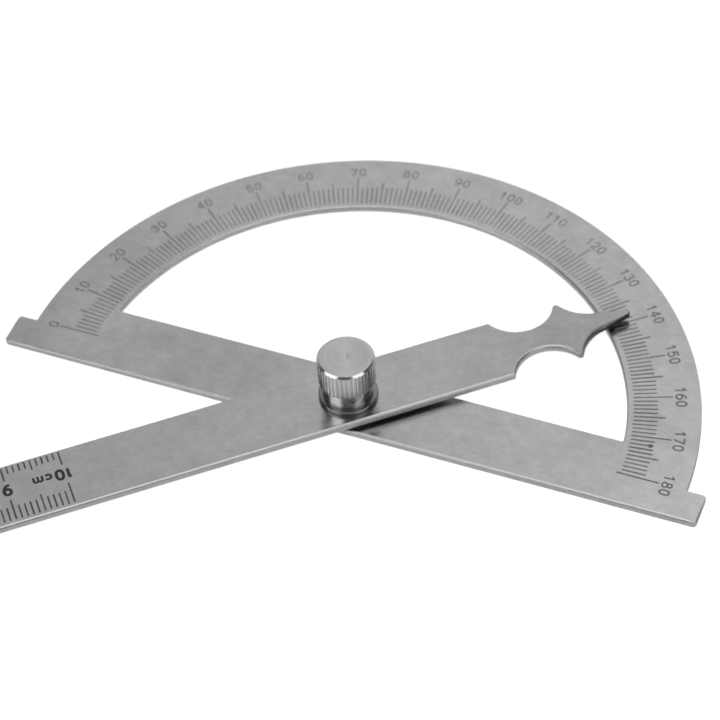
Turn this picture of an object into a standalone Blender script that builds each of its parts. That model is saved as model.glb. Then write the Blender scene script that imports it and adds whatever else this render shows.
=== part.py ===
"""Plate protractor with a swinging pointer arm (bow diameter 120 mm, arm 150 mm).

A half-circle degree bow and its straight rail are one thin sheet.  A stud is
pressed into the rail at the centre of the bow.  On the stud sit a spacer
washer, the pointer arm, a clamp washer and a knurled thumb nut.

Frame: metres, +Z up, origin on the pivot axis at the underside of the plate,
+X along the rail towards the 180 degree end, +Y towards the 90 degree mark.
Sizes below are in mm and angles in degrees; MM turns mm into metres.
"""
import math

import bmesh
import bpy

MM = 0.001

# ------------------------------------------------------------ sheet parts
EDGE_BREAK = 0.30        # rounded break along every sheet edge
CORNER_STEPS = 4         # segments in a small corner arc
HOLE_STEPS = 48          # segments round a drilled hole
CUT_OVERRUN = 1.0        # how far a cutter stands clear of the faces it cuts

# ------------------------------------------------------------ plate
PLATE_T = 1.2            # sheet thickness
BOW_R_OUT = 60.0         # outer radius of the degree bow
BOW_R_IN = 47.4          # inner radius of the degree bow
RAIL_FOOT_Y = -6.25      # straight datum edge of the rail
RAIL_HEAD_Y = 6.75       # upper edge of the rail, inside the bow
TAB_X = 63.4             # half length of the rail over its end tabs
TAB_TOP_Y = 0.0          # the tabs' upper edge lies on the 0-180 line
TAB_CORNER_R = 0.7
WINDOW_CORNER_R = 0.35

# ------------------------------------------------------------ pointer arm
# Arm frame: pivot at the origin, tip towards +X, tail towards -X.  Centres
# are given for the +Y side; the other side mirrors them.
ARM_ANGLE = 40.74        # from +X at rest (reads 139.26 on the scale)
ARM_T = 1.2
ARM_HALF_W = 6.5
ARM_TAIL = 150.0         # pivot to the square tail end
ARM_TAIL_CORNER_R = 0.6
SHOULDER_FILLET = 0.25
SCOOP_CENTRE = (34.10, 8.98)   # circle that scoops each side of the neck
SCOOP_R = 6.52
BARB_FILLET = 0.62
FLANK_CENTRE = (47.66, 9.17)   # circle that hollows each side of the spear point
FLANK_R = 7.44
FLANK_END_X = 46.9       # where the hollow runs out into the straight taper
TIP_X = 51.95            # pivot to the very tip
TIP_R = 0.55

# ------------------------------------------------------------ stud
STUD_R = 1.95            # M4 shank, drawn plain
STUD_END_CHAMFER = 0.35
STUD_HEAD_R = 3.30
STUD_HEAD_EDGE = 0.12    # short cylindrical rim under the countersink cone
STUD_CONE_H = 0.90
STUD_TOP_Z = 10.9
SINK_CLEAR = 0.05        # clearance between the stud and its plate hole
BORE_CLEAR = 0.10        # clearance between the stud and the arm or nut
PLATE_HOLE_R = STUD_R + SINK_CLEAR
ARM_HOLE_R = STUD_R + BORE_CLEAR

# ------------------------------------------------------------ washers
STACK_GAP = 0.02         # play left between stacked faces
WASHER_BORE_R = 2.15
SPACER_T = 0.8
SPACER_R = 5.0
SPACER_CHAMFER = 0.1
CLAMP_T = 0.85
CLAMP_R = 5.13
CLAMP_EDGE = 0.16        # rounded rim edge, drawn as two facets
CLAMP_EDGE_MID = 0.3 * CLAMP_EDGE   # inset of the point between the facets

ARM_Z = PLATE_T + SPACER_T            # underside of the arm
CLAMP_Z = ARM_Z + ARM_T + STACK_GAP   # underside of the clamp washer

# ------------------------------------------------------------ thumb nut
NUT_Z = CLAMP_Z + CLAMP_T + STACK_GAP
NUT_TOP_Z = 12.80
NUT_R = 5.00
NUT_TOP_CHAMFER = 0.40
NUT_NECK_R = 4.40
NUT_NECK_TOP_Z = 7.05
NUT_FLARE_Z = NUT_NECK_TOP_Z + NUT_R - NUT_NECK_R   # 45 degree flare up to the knurl
NUT_FOOT_CHAMFER = 0.25
NUT_BORE_R = STUD_R + BORE_CLEAR
NUT_BORE_CHAMFER = 0.2
NUT_BORE_TOP_Z = 11.30   # point of the cone that ends the blind bore
NUT_BORE_CONE_H = 0.4
KNURL_RIBS = 40
KNURL_DEPTH = 0.28

AXIS_ARROW_SIZE = 0.02   # metres


# ============================================================ scene and materials
def clear_scene():
    for ob in list(bpy.data.objects):
        bpy.data.objects.remove(ob, do_unlink=True)


def new_collection(name):
    collection = bpy.data.collections.new(name)
    bpy.context.scene.collection.children.link(collection)
    return collection


def metal(name, colour, roughness):
    material = bpy.data.materials.new(name)
    material.use_nodes = True
    shader = material.node_tree.nodes["Principled BSDF"]
    shader.inputs["Base Color"].default_value = (*colour, 1.0)
    shader.inputs["Roughness"].default_value = roughness
    shader.inputs["Metallic"].default_value = 1.0
    material.diffuse_color = (*colour, 1.0)
    return material


# ============================================================ plane geometry
def arc(cx, cy, radius, start, end, steps):
    """Points on a circle from angle start to end (degrees), both ends included."""
    points = []
    for i in range(steps + 1):
        angle = math.radians(start + (end - start) * i / steps)
        points.append((cx + radius * math.cos(angle), cy + radius * math.sin(angle)))
    return points


def angle_of(centre, point):
    """Direction from centre to point, in degrees."""
    return math.degrees(math.atan2(point[1] - centre[1], point[0] - centre[0]))


def circle_meet(centre_a, radius_a, centre_b, radius_b):
    """Where two circles meet, on the left of the line from centre a to centre b."""
    dx, dy = centre_b[0] - centre_a[0], centre_b[1] - centre_a[1]
    span = math.hypot(dx, dy)
    along = (radius_a ** 2 - radius_b ** 2 + span ** 2) / (2 * span)
    across = math.sqrt(radius_a ** 2 - along ** 2)
    return (centre_a[0] + (along * dx - across * dy) / span,
            centre_a[1] + (along * dy + across * dx) / span)


# ============================================================ mesh helpers
def weld(mesh, distance):
    """Merge coincident vertices and turn every face outwards."""
    bm = bmesh.new()
    bm.from_mesh(mesh)
    bmesh.ops.remove_doubles(bm, verts=bm.verts, dist=distance)
    bmesh.ops.recalc_face_normals(bm, faces=bm.faces)
    bm.to_mesh(mesh)
    bm.free()


def evaluated_mesh(ob):
    bpy.context.view_layer.update()
    depsgraph = bpy.context.evaluated_depsgraph_get()
    return bpy.data.meshes.new_from_object(ob.evaluated_get(depsgraph))


def flat_part(name, loops, z_mid, thickness, edge, collection):
    """A closed sheet with rounded edges, centred on the height z_mid.

    loops are closed outlines in mm; the second and later ones are windows.
    """
    curve = bpy.data.curves.new(name, "CURVE")
    curve.dimensions = "2D"
    curve.fill_mode = "BOTH"
    curve.extrude = (thickness / 2 - edge) * MM
    curve.bevel_depth = edge * MM
    curve.bevel_resolution = 1
    curve.offset = -edge * MM     # keeps the bevel inside the drawn outline
    for loop in loops:
        spline = curve.splines.new("POLY")
        spline.points.add(len(loop) - 1)
        for point, (x, y) in zip(spline.points, loop):
            point.co = (x * MM, y * MM, 0.0, 1.0)
        spline.use_cyclic_u = True
    outline = bpy.data.objects.new(name + "_outline", curve)
    collection.objects.link(outline)
    mesh = evaluated_mesh(outline)
    mesh.name = name
    weld(mesh, 2e-6)
    bpy.data.objects.remove(outline, do_unlink=True)
    bpy.data.curves.remove(curve)

    ob = bpy.data.objects.new(name, mesh)
    ob.location.z = z_mid * MM
    collection.objects.link(ob)
    return ob


def turned(name, profile, steps, collection):
    """A turned piece: its half profile (r, z in mm, top to bottom) and a Screw."""
    mesh = bpy.data.meshes.new(name)
    bm = bmesh.new()
    verts = [bm.verts.new((r * MM, 0.0, z * MM)) for r, z in profile]
    for upper, lower in zip(verts, verts[1:]):
        bm.edges.new((upper, lower))
    if profile[0][0] > 0 or profile[-1][0] > 0:      # a ring: close the section
        bm.edges.new((verts[-1], verts[0]))
    bm.to_mesh(mesh)
    bm.free()
    ob = bpy.data.objects.new(name, mesh)
    collection.objects.link(ob)
    screw = ob.modifiers.new("turn", "SCREW")
    screw.axis = "Z"
    screw.angle = 2 * math.pi
    screw.steps = steps
    screw.render_steps = steps
    screw.use_merge_vertices = True
    screw.merge_threshold = 1e-6
    screw.use_smooth_shade = True
    return ob


def bake(ob):
    """Turn an object's modifiers into its mesh, so it can be cut or can cut."""
    mesh = evaluated_mesh(ob)
    drawn = ob.data
    ob.modifiers.clear()
    ob.data = mesh
    mesh.name = drawn.name
    bpy.data.meshes.remove(drawn)
    weld(mesh, 1e-7)


def as_cutter(ob):
    ob.hide_render = True
    ob.display_type = "WIRE"


def turned_cutter(name, profile, collection):
    tool = turned(name, profile, HOLE_STEPS, collection)
    bake(tool)
    as_cutter(tool)
    return tool


def cut(ob, tool, operation="DIFFERENCE"):
    boolean = ob.modifiers.new("cut_" + tool.name, "BOOLEAN")
    boolean.operation = operation
    boolean.solver = "EXACT"
    boolean.object = tool


def shade(ob, degrees=30.0):
    """Smooth shading, with edges steeper than the angle kept sharp."""
    ob.data.shade_smooth()
    ob.data.set_sharp_from_angle(angle=math.radians(degrees))


def axis_empty(name, z, angle, collection):
    """An arrow on the pivot axis that carries the pieces turning about it."""
    empty = bpy.data.objects.new(name, None)
    empty.empty_display_type = "SINGLE_ARROW"
    empty.empty_display_size = AXIS_ARROW_SIZE
    empty.location = (0.0, 0.0, z * MM)
    empty.rotation_euler = (0.0, 0.0, math.radians(angle))
    collection.objects.link(empty)
    return empty


# ============================================================ protractor plate
def plate_outer():
    """Right tab, the bow from right to left, left tab."""
    r = TAB_CORNER_R
    corner_x = TAB_X - r
    foot_y = RAIL_FOOT_Y + r
    top_y = TAB_TOP_Y - r
    return (arc(corner_x, foot_y, r, -90, 0, CORNER_STEPS)
            + arc(corner_x, top_y, r, 0, 90, CORNER_STEPS)
            + arc(0, 0, BOW_R_OUT, 0, 180, 108)
            + arc(-corner_x, top_y, r, 90, 180, CORNER_STEPS)
            + arc(-corner_x, foot_y, r, 180, 270, CORNER_STEPS))


def plate_window():
    """The opening inside the bow; its two corners carry a small fillet."""
    r = WINDOW_CORNER_R
    corner_y = RAIL_HEAD_Y + r
    corner_x = math.sqrt((BOW_R_IN - r) ** 2 - corner_y ** 2)
    touch = angle_of((0, 0), (corner_x, corner_y))
    return (arc(corner_x, corner_y, r, -90, touch, CORNER_STEPS)
            + arc(0, 0, BOW_R_IN, touch, 180 - touch, 96)[1:-1]
            + arc(-corner_x, corner_y, r, 180 - touch, 270, CORNER_STEPS))


def build_plate(parts, cutters):
    plate = flat_part("protractor_plate", [plate_outer(), plate_window()],
                      PLATE_T / 2, PLATE_T, EDGE_BREAK, parts)
    plate.data.materials.append(metal("satin_steel", colour=(0.47, 0.47, 0.47),
                                      roughness=0.34))
    # countersunk hole for the stud, open at both faces
    top = PLATE_T + CUT_OVERRUN
    sink_r = STUD_HEAD_R + SINK_CLEAR
    sink = turned_cutter("stud_hole_cutter", [
        (0, top),
        (PLATE_HOLE_R, top),
        (PLATE_HOLE_R, STUD_HEAD_EDGE + STUD_CONE_H + SINK_CLEAR),
        (sink_r, STUD_HEAD_EDGE + SINK_CLEAR),
        (sink_r, -CUT_OVERRUN),
        (0, -CUT_OVERRUN)], cutters)
    cut(plate, sink)
    shade(plate)


# ============================================================ pointer arm
def arm_side():
    """The -Y side of the arm from the tail to the tip, both included."""
    scoop = (SCOOP_CENTRE[0], -SCOOP_CENTRE[1])
    flank = (FLANK_CENTRE[0], -FLANK_CENTRE[1])
    points = arc(-ARM_TAIL + ARM_TAIL_CORNER_R, -ARM_HALF_W + ARM_TAIL_CORNER_R,
                 ARM_TAIL_CORNER_R, 180, 270, CORNER_STEPS)

    # shoulder fillet: touches the straight edge and the scoop circle
    shoulder_y = -ARM_HALF_W + SHOULDER_FILLET
    shoulder_x = scoop[0] - math.sqrt((SCOOP_R + SHOULDER_FILLET) ** 2
                                      - (shoulder_y - scoop[1]) ** 2)
    scoop_start = angle_of(scoop, (shoulder_x, shoulder_y))
    points += arc(shoulder_x, shoulder_y, SHOULDER_FILLET, -90, scoop_start - 180,
                  CORNER_STEPS)

    # barb fillet: touches the scoop circle and the flank circle
    barb = circle_meet(scoop, SCOOP_R + BARB_FILLET, flank, FLANK_R + BARB_FILLET)
    scoop_end = angle_of(scoop, barb)
    barb_end = angle_of(barb, flank)
    points += arc(*scoop, SCOOP_R, scoop_start, scoop_end, 28)[1:-1]
    points += arc(*barb, BARB_FILLET, scoop_end - 180, barb_end, 8)

    # hollow flank of the spear
    flank_end = math.degrees(math.acos((FLANK_END_X - flank[0]) / FLANK_R))
    points += arc(*flank, FLANK_R, barb_end + 180, flank_end, 18)[1:]

    # straight taper, tangent to the rounded tip
    tip_centre = (TIP_X - TIP_R, 0.0)
    base = angle_of(tip_centre, points[-1])
    swing = math.degrees(math.acos(TIP_R / math.dist(tip_centre, points[-1])))
    points += arc(*tip_centre, TIP_R, base + swing, 0, 6)
    return points


def build_arm(parts, cutters):
    side = arm_side()
    outline = side + [(x, -y) for x, y in reversed(side[:-1])]
    arm = flat_part("pointer_arm", [outline], 0.0, ARM_T, EDGE_BREAK, parts)
    arm.data.materials.append(metal("satin_steel_arm", colour=(0.50, 0.50, 0.50),
                                    roughness=0.30))
    hole = turned_cutter("arm_hole_cutter", [
        (0, ARM_T), (ARM_HOLE_R, ARM_T), (ARM_HOLE_R, -ARM_T), (0, -ARM_T)], cutters)
    cut(arm, hole)
    shade(arm)
    arm_axis = axis_empty("arm_axis", ARM_Z + ARM_T / 2, ARM_ANGLE, parts)
    arm.parent = arm_axis
    hole.parent = arm_axis


# ============================================================ pivot stack
def build_stud(parts):
    stud = turned("pivot_stud", [
        (0, STUD_TOP_Z),
        (STUD_R - STUD_END_CHAMFER, STUD_TOP_Z),
        (STUD_R, STUD_TOP_Z - STUD_END_CHAMFER),
        (STUD_R, STUD_HEAD_EDGE + STUD_CONE_H),
        (STUD_HEAD_R, STUD_HEAD_EDGE),
        (STUD_HEAD_R, 0.0),
        (0, 0.0)], 48, parts)
    stud.data.materials.append(metal("stud_steel", colour=(0.55, 0.55, 0.54),
                                     roughness=0.30))


def build_spacer(parts):
    top = ARM_Z - STACK_GAP
    foot = PLATE_T + STACK_GAP
    spacer = turned("spacer_washer", [
        (WASHER_BORE_R, top),
        (SPACER_R - SPACER_CHAMFER, top),
        (SPACER_R, top - SPACER_CHAMFER),
        (SPACER_R, foot + SPACER_CHAMFER),
        (SPACER_R - SPACER_CHAMFER, foot),
        (WASHER_BORE_R, foot)], 48, parts)
    spacer.data.materials.append(metal("spacer_steel", colour=(0.42, 0.42, 0.42),
                                       roughness=0.40))


def build_clamp(parts):
    top = CLAMP_Z + CLAMP_T
    clamp = turned("clamp_washer", [
        (WASHER_BORE_R, top),
        (CLAMP_R - CLAMP_EDGE, top),
        (CLAMP_R - CLAMP_EDGE_MID, top - CLAMP_EDGE_MID),
        (CLAMP_R, top - CLAMP_EDGE),
        (CLAMP_R, CLAMP_Z + CLAMP_EDGE),
        (CLAMP_R - CLAMP_EDGE_MID, CLAMP_Z + CLAMP_EDGE_MID),
        (CLAMP_R - CLAMP_EDGE, CLAMP_Z),
        (WASHER_BORE_R, CLAMP_Z)], 64, parts)
    clamp.data.materials.append(metal("nickel_plate", colour=(0.70, 0.70, 0.69),
                                      roughness=0.10))


# ============================================================ thumb nut
def knurl_outline():
    """Straight ribs all round: a flat crest and a flat root in every pitch."""
    root_r = NUT_R - KNURL_DEPTH
    pitch = 2 * math.pi / KNURL_RIBS
    # share of the pitch from the crest's middle, radius
    rib = ((-0.30, NUT_R), (0.30, NUT_R), (0.42, root_r), (0.58, root_r))
    points = []
    for i in range(KNURL_RIBS):
        for share, r in rib:
            angle = (i + share) * pitch
            points.append((r * math.cos(angle), r * math.sin(angle)))
    return points


def build_nut(parts, cutters):
    ribs = flat_part("knurl_blank", [knurl_outline()], (NUT_Z + NUT_TOP_Z) / 2,
                     NUT_TOP_Z - NUT_Z + 2 * CUT_OVERRUN, 0.0, cutters)
    as_cutter(ribs)
    profile = [
        (0, NUT_TOP_Z),
        (NUT_R - NUT_TOP_CHAMFER, NUT_TOP_Z),
        (NUT_R, NUT_TOP_Z - NUT_TOP_CHAMFER),
        (NUT_R, NUT_FLARE_Z),
        (NUT_NECK_R, NUT_NECK_TOP_Z),
        (NUT_NECK_R, NUT_Z + NUT_FOOT_CHAMFER),
        (NUT_NECK_R - NUT_FOOT_CHAMFER, NUT_Z),
        (NUT_BORE_R + NUT_BORE_CHAMFER, NUT_Z),
        (NUT_BORE_R, NUT_Z + NUT_BORE_CHAMFER),
        (NUT_BORE_R, NUT_BORE_TOP_Z - NUT_BORE_CONE_H),
        (0, NUT_BORE_TOP_Z)]
    # the nut's own origin is at its seat
    nut = turned("thumb_nut", [(r, z - NUT_Z) for r, z in profile], 80, parts)
    bake(nut)
    nut.data.materials.append(metal("nickel_plate_nut", colour=(0.74, 0.74, 0.73),
                                    roughness=0.08))
    nut.parent = axis_empty("nut_axis", NUT_Z, 0.0, parts)
    cut(nut, ribs, "INTERSECT")
    shade(nut, 25.0)


# ============================================================ assembly
def main():
    clear_scene()
    parts = new_collection("protractor")
    cutters = new_collection("protractor_cutters")
    build_plate(parts, cutters)
    build_arm(parts, cutters)
    build_stud(parts)
    build_spacer(parts)
    build_clamp(parts)
    build_nut(parts, cutters)


main()
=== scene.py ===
"""A plate protractor with a swinging pointer arm, on a pale floor in soft light.

It lies flat on Z = 0 with its pivot on the Z axis. The half-round bow reaches
toward +Y and its rail runs along X. The arm is built with its point toward +X
and its ruler toward -X, then turned by ARM_ANGLE about the pivot. On the pivot
sit, going up, a spacer washer, the arm, a clamp washer and a knurled nut.

Shapes are in millimetres and meshes are written in metres. Materials, lights
and the camera are in metres.
"""

import math

import bmesh
import bpy
import numpy as np
from mathutils import Matrix, Vector
from mathutils.geometry import delaunay_2d_cdt


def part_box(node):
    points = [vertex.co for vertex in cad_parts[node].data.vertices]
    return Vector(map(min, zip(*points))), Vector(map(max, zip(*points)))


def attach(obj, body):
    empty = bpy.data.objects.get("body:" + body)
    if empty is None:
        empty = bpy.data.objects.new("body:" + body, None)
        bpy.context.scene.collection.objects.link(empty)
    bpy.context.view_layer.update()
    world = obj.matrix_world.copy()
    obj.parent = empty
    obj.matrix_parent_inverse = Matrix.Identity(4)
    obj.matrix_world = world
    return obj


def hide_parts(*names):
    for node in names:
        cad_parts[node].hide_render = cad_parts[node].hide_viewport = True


MM = 0.001
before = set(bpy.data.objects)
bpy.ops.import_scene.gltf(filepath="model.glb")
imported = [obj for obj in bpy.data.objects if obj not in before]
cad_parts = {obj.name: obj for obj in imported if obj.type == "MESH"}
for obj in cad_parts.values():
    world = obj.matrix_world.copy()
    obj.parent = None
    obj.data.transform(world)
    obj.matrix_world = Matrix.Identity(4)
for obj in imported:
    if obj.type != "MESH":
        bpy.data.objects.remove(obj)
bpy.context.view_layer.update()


def z_range(node):
    lo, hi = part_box(node)
    return lo.z / MM, hi.z / MM


def radius_of(node):
    lo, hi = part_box(node)
    return (hi.x - lo.x) / 2 / MM


PLATE_Z0, PLATE_Z1 = z_range("protractor_plate")
ARM_Z0, ARM_Z1 = z_range("pointer_arm")
SPACER_Z0, SPACER_Z1 = z_range("spacer_washer")
CLAMP_Z0, CLAMP_Z1 = z_range("clamp_washer")
NUT_Z0, NUT_Z1 = z_range("thumb_nut")
STUD_Z1 = z_range("pivot_stud")[1]
SPACER_R = radius_of("spacer_washer")
CLAMP_R = radius_of("clamp_washer")
NUT_R = radius_of("thumb_nut")

# plate outline
BOW_R_OUT, BOW_R_IN = 60.0, 47.4
RAIL_FOOT_Y, RAIL_HEAD_Y = -6.25, 6.75
TAB_X, TAB_TOP_Y, TAB_CORNER_R = 63.4, 0.0, 0.7
WINDOW_CORNER_R = 0.35

# arm outline, on its -Y side; the +Y side mirrors it
ARM_ANGLE = 40.74
ARM_HALF_W, ARM_TAIL, ARM_TAIL_CORNER_R = 6.5, 150.0, 0.6
SHOULDER_FILLET = 0.28
SCOOP_CENTRE, SCOOP_R = (34.10, -8.98), 6.52
BARB_FILLET = 0.62
FLANK_CENTRE, FLANK_R, FLANK_END_X = (47.66, -9.17), 7.44, 46.9
TIP_X, TIP_R = 51.95, 0.55

# sheet edges and holes
ROLL_W, ROLL_D = 0.56, 0.38      # greatest width of the upper roll, and its depth there
ROLL_STEPS = 8
BURR_BREAK = 0.14                # break of the lower edges
PLATE_BORE_R, ARM_BORE_R = 2.0, 2.05
SINK_R = 3.35                    # countersink under the plate
BORE_BREAK = 0.08
BORE_STEPS = 96

# engraving
MARK_DEPTH = 0.05
HAIR = 0.27                      # stroke of the degree marks and numerals

# material slots of a sheet
FACE, FILL, SHEARED, ROLLED, FIGURES, UNDERSIDE = range(6)


# ============================================================ plane geometry
def clamp_unit(value):
    return min(1.0, max(0.0, value))


def unit(degrees):
    angle = math.radians(degrees)
    return math.cos(angle), math.sin(angle)


def arc(centre, radius, start, end, steps):
    """Points on a circle, from the start angle to the end angle in degrees."""
    points = []
    for i in range(steps + 1):
        ux, uy = unit(start + (end - start) * i / steps)
        points.append((centre[0] + radius * ux, centre[1] + radius * uy))
    return points


def angle_of(centre, point):
    return math.degrees(math.atan2(point[1] - centre[1], point[0] - centre[0]))


def circle_meet(centre0, radius0, centre1, radius1):
    """Where two circles cross, on the left of the line between their centres."""
    dx, dy = centre1[0] - centre0[0], centre1[1] - centre0[1]
    gap = math.hypot(dx, dy)
    along = (radius0 * radius0 - radius1 * radius1 + gap * gap) / (2 * gap)
    off = math.sqrt(radius0 * radius0 - along * along)
    return (centre0[0] + along * dx / gap - off * dy / gap,
            centre0[1] + along * dy / gap + off * dx / gap)


def plate_outer():
    radius = TAB_CORNER_R
    x, low, high = TAB_X - radius, RAIL_FOOT_Y + radius, TAB_TOP_Y - radius
    return (arc((x, low), radius, -90, 0, 8)
            + arc((x, high), radius, 0, 90, 8)
            + arc((0, 0), BOW_R_OUT, 0, 180, 360)
            + arc((-x, high), radius, 90, 180, 8)
            + arc((-x, low), radius, 180, 270, 8))


def plate_window():
    radius = WINDOW_CORNER_R
    y = RAIL_HEAD_Y + radius
    x = math.sqrt((BOW_R_IN - radius) ** 2 - y ** 2)
    angle = math.degrees(math.atan2(y, x))
    return (arc((x, y), radius, -90, angle, 8)
            + arc((0, 0), BOW_R_IN, angle, 180 - angle, 320)[1:-1]
            + arc((-x, y), radius, 180 - angle, 270, 8))


def arm_side():
    """The -Y side of the arm, from the tail to just short of the tip."""
    edge_y, corner = -ARM_HALF_W, ARM_TAIL_CORNER_R
    points = arc((-ARM_TAIL + corner, edge_y + corner), corner, 180, 270, 8)

    y = edge_y + SHOULDER_FILLET
    x = SCOOP_CENTRE[0] - math.sqrt((SCOOP_R + SHOULDER_FILLET) ** 2
                                    - (y - SCOOP_CENTRE[1]) ** 2)
    scoop_in = angle_of(SCOOP_CENTRE, (x, y))
    points += arc((x, y), SHOULDER_FILLET, -90, scoop_in - 180, 6)

    barb = circle_meet(SCOOP_CENTRE, SCOOP_R + BARB_FILLET,
                       FLANK_CENTRE, FLANK_R + BARB_FILLET)
    scoop_out = angle_of(SCOOP_CENTRE, barb)
    points += arc(SCOOP_CENTRE, SCOOP_R, scoop_in, scoop_out, 64)[1:-1]
    barb_out = angle_of(barb, FLANK_CENTRE)
    points += arc(barb, BARB_FILLET, scoop_out - 180, barb_out, 14)

    flank_out = 180 - math.degrees(math.acos((FLANK_CENTRE[0] - FLANK_END_X) / FLANK_R))
    points += arc(FLANK_CENTRE, FLANK_R, barb_out + 180, flank_out, 40)[1:]

    # a straight run from the flank's end touches the round of the tip
    tip = (TIP_X - TIP_R, 0)
    x, y = points[-1]
    swing = math.degrees(math.acos(TIP_R / math.hypot(x - tip[0], y)))
    return points + arc(tip, TIP_R, angle_of(tip, (x, y)) + swing, 0, 10)[:-1]


def arm_outline():
    side = arm_side()
    return side + [(TIP_X, 0.0)] + [(x, -y) for x, y in reversed(side)]


# ============================================================ marks
def split_sharp(path, limit=35.0):
    """Cut a polyline at its corners sharper than limit degrees."""
    runs, run = [], [path[0]]
    for i in range(1, len(path)):
        run.append(path[i])
        if i < len(path) - 1:
            before = math.atan2(path[i][1] - path[i - 1][1], path[i][0] - path[i - 1][0])
            after = math.atan2(path[i + 1][1] - path[i][1], path[i + 1][0] - path[i][0])
            turn = abs((after - before + math.pi) % (2 * math.pi) - math.pi)
            if math.degrees(turn) > limit:
                runs.append(run)
                run = [path[i]]
    runs.append(run)
    return runs


def ribbon(path, width, butt=False):
    """The outline of an open stroke, with round or square ends."""
    half = width / 2
    left, right, ways = [], [], []
    for (x0, y0), (x1, y1) in zip(path, path[1:]):
        length = math.hypot(x1 - x0, y1 - y0)
        ways.append(((x1 - x0) / length, (y1 - y0) / length))
    for i, (x, y) in enumerate(path):
        before, after = ways[max(i - 1, 0)], ways[min(i, len(ways) - 1)]
        dx, dy = before[0] + after[0], before[1] + after[1]
        length = math.hypot(dx, dy)
        dx, dy = dx / length, dy / length
        reach = half / max(0.5, dx * after[0] + dy * after[1])
        left.append((x - dy * reach, y + dx * reach))
        right.append((x + dy * reach, y - dx * reach))
    if butt:
        return right + left[::-1]
    start, end = [math.degrees(math.atan2(dy, dx)) for dx, dy in (ways[0], ways[-1])]
    return (right + arc(path[-1], half, end - 90, end + 90, 6)[1:-1]
            + left[::-1] + arc(path[0], half, start + 90, start + 270, 6)[1:-1])


def oval(centre, radii, start, end, steps, power=2.0):
    """An arc of an ellipse; a higher power squares it off."""
    points = []
    for i in range(steps + 1):
        ux, uy = unit(start + (end - start) * i / steps)
        points.append((centre[0] + radii[0] * math.copysign(abs(ux) ** (2 / power), ux),
                       centre[1] + radii[1] * math.copysign(abs(uy) ** (2 / power), uy)))
    return points


def full_oval(centre, radii, steps, power=2.0):
    """Two overlapping halves, as every stroke is open."""
    return [oval(centre, radii, 0, 190, steps, power),
            oval(centre, radii, 180, 370, steps, power)]


def m_arch(x):
    return ([(x, 0.0), (x, 0.55)] + oval((x + 0.25, 0.60), (0.25, 0.40), 170, 10, 8)
            + [(x + 0.5, 0.55), (x + 0.5, 0.0)])


# centre lines of each character in a unit box
GLYPHS = {
    "0": full_oval((0.5, 0.5), (0.46, 0.5), 14, 2.3),
    "1": [[(0.60, 0.0), (0.60, 1.0)], [(0.60, 1.0), (0.22, 0.76)]],
    "2": [oval((0.5, 0.70), (0.45, 0.30), 165, -35, 12) + [(0.04, 0.0), (1.0, 0.0)]],
    "3": [oval((0.46, 0.755), (0.40, 0.245), 155, -90, 14),
          oval((0.46, 0.26), (0.50, 0.26), 90, -155, 16)],
    "4": [[(0.74, 0.0), (0.74, 1.0), (0.0, 0.28), (1.0, 0.28)]],
    "5": [[(0.92, 1.0), (0.18, 1.0), (0.10, 0.50)],
          [(0.10, 0.50)] + oval((0.48, 0.33), (0.48, 0.33), 128, -150, 18)],
    "6": full_oval((0.5, 0.31), (0.48, 0.31), 14)
    + [[(0.02, 0.33)] + oval((0.78, 0.36), (0.76, 0.64), 172, 100, 9) + [(0.80, 1.0)]],
    "7": [[(0.0, 1.0), (1.0, 1.0), (0.36, 0.0)]],
    "8": full_oval((0.5, 0.76), (0.38, 0.24), 12)
    + full_oval((0.5, 0.27), (0.47, 0.27), 12),
    "c": [oval((0.52, 0.5), (0.50, 0.50), 48, 312, 16)],
    "m": [[(0.0, 0.0), (0.0, 1.0)], m_arch(0.0), m_arch(0.5)],
}
GLYPHS["9"] = [[(1 - x, 1 - y) for x, y in path] for path in GLYPHS["6"]]


def glyph(char, width, height, stroke, butt=False):
    """Filled outlines of a character whose inked box has its low corner at (0, 0).

    Square ends are kept to paths of a few points; curves always get round ends.
    """
    outlines = []
    for path in GLYPHS[char]:
        points = [(stroke / 2 + x * (width - stroke), stroke / 2 + y * (height - stroke))
                  for x, y in path]
        for run in split_sharp(points):
            outlines.append(ribbon(run, stroke, butt and len(path) < 4))
    return outlines


TICK_R_IN, TICK_R_IN_END = 48.6, 47.9            # inner ends, and those of 0 and 180
TICK_R_OUT = {1: 52.5, 5: 53.75, 10: 55.1}       # outer ends, by the step they mark
DEGREE_FIG_W, DEGREE_FIG_H = 1.34, 1.96
DEGREE_FIG_R, DEGREE_FIG_PITCH = 55.62, 1.61     # foot radius, and spacing in degrees
DOT_X, DOT_Y, DOT_R = 51.5, 7.2, 0.42


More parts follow.
